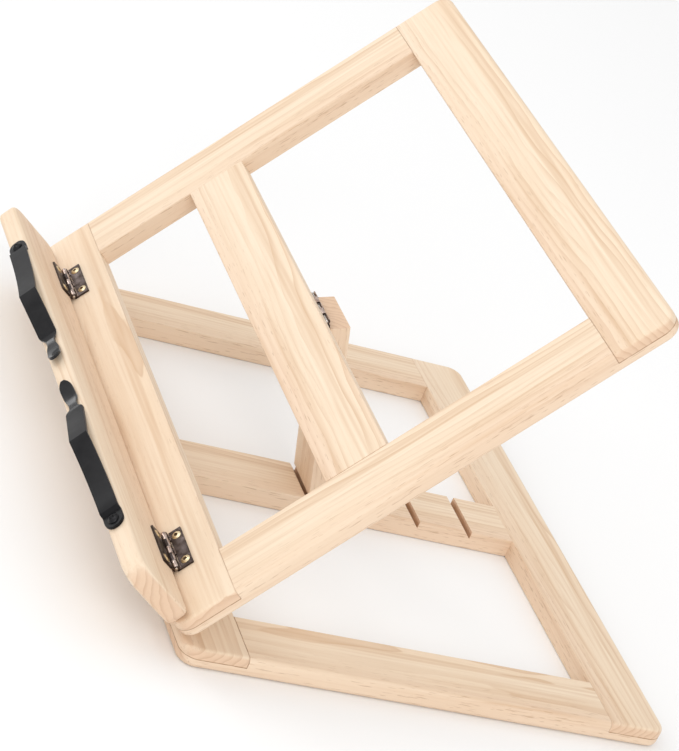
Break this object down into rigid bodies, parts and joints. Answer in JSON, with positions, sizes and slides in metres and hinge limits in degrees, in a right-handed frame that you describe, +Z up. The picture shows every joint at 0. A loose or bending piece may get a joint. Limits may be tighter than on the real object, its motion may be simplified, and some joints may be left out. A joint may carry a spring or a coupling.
{
  "type": "folding desk easel",
  "caption": "Pine desk easel and book stand: tilting frame on a flat base, prop strut in a notched rail, folding ledge with page clips.",
  "frame": {"origin": "on the table, under the middle of the base frame (the underside of the ratchet rail)", "axes": "+Z up, +X to the right of a reader who faces the page, +Y from the reader to the back"},
  "size_m": [0.31, 0.2885, 0.209],
  "materials": {
    "pine": "pale planed pine, sanded, unvarnished",
    "beech_dowel": "hardwood dowel, glued in",
    "hinge_bronze": "pressed sheet with an aged bronze finish",
    "hinge_pin": "bright drawn wire",
    "brass_screw": "antique brass, cross recess",
    "black_clip": "satin black paint on spring steel",
    "black_screw": "blackened cross-slot screw"
  },
  "bodies": {
    "base": {"base_front_rail": "pine", "base_back_rail": "pine", "base_left_rail": "pine", "base_right_rail": "pine", "base_ratchet_rail": "pine", "base_dowels": "beech_dowel", "tilt_hinge_left_base_leaf": "hinge_bronze", "tilt_hinge_left_pin": "hinge_pin", "tilt_hinge_right_base_leaf": "hinge_bronze", "tilt_hinge_right_pin": "hinge_pin", "tilt_hinge_base_screws": "brass_screw"},
    "panel": {"panel_bottom_rail": "pine", "panel_top_rail": "pine", "panel_left_rail": "pine", "panel_right_rail": "pine", "panel_middle_rail": "pine", "panel_dowels": "beech_dowel", "tilt_hinge_left_panel_leaf": "hinge_bronze", "tilt_hinge_right_panel_leaf": "hinge_bronze", "tilt_hinge_panel_screws": "brass_screw", "ledge_hinge_left_panel_leaf": "hinge_bronze", "ledge_hinge_left_pin": "hinge_pin", "ledge_hinge_right_panel_leaf": "hinge_bronze", "ledge_hinge_right_pin": "hinge_pin", "ledge_hinge_panel_screws": "brass_screw", "prop_hinge_panel_leaf": "hinge_bronze", "prop_hinge_pin": "hinge_pin", "prop_hinge_panel_screws": "brass_screw"},
    "prop": {"prop_strut": "pine", "prop_hinge_strut_leaf": "hinge_bronze", "prop_hinge_strut_screws": "brass_screw"},
    "ledge": {"ledge_board": "pine", "ledge_hinge_left_ledge_leaf": "hinge_bronze", "ledge_hinge_right_ledge_leaf": "hinge_bronze", "ledge_hinge_ledge_screws": "brass_screw", "clip_screws": "black_screw"},
    "clip_left": {"page_clip_left": "black_clip"},
    "clip_right": {"page_clip_right": "black_clip"}
  },
  "joints": [
    {"name": "panel_tilt", "type": "hinge", "parent": "base", "child": "panel", "pos_m": [0, -0.11967, 0.01125], "axis": [1, 0, 0], "range_deg": [-44.75, 0]},
    {"name": "prop_swing", "type": "hinge", "parent": "panel", "child": "prop", "pos_m": [0, -0.05195, 0.10046], "axis": [1, 0, 0], "range_deg": [0, 125.3]},
    {"name": "ledge_fold", "type": "hinge", "parent": "panel", "child": "ledge", "pos_m": [0, -0.12431, 0.02664], "axis": [1, 0, 0], "range_deg": [-92.6, 0]},
    {"name": "clip_left_swing", "type": "hinge", "parent": "ledge", "child": "clip_left", "pos_m": [-0.1055, -0.15726, 0.04147], "axis": [0, -0.8231, 0.5678], "range_deg": [0, 90]},
    {"name": "clip_right_swing", "type": "hinge", "parent": "ledge", "child": "clip_right", "pos_m": [0.12, -0.15726, 0.04147], "axis": [0, 0.8231, -0.5678], "range_deg": [0, 90]}
  ],
  "couplings": [
    {"joint": "prop_swing", "follows": "panel_tilt", "ratio": -2.8}
  ]
}
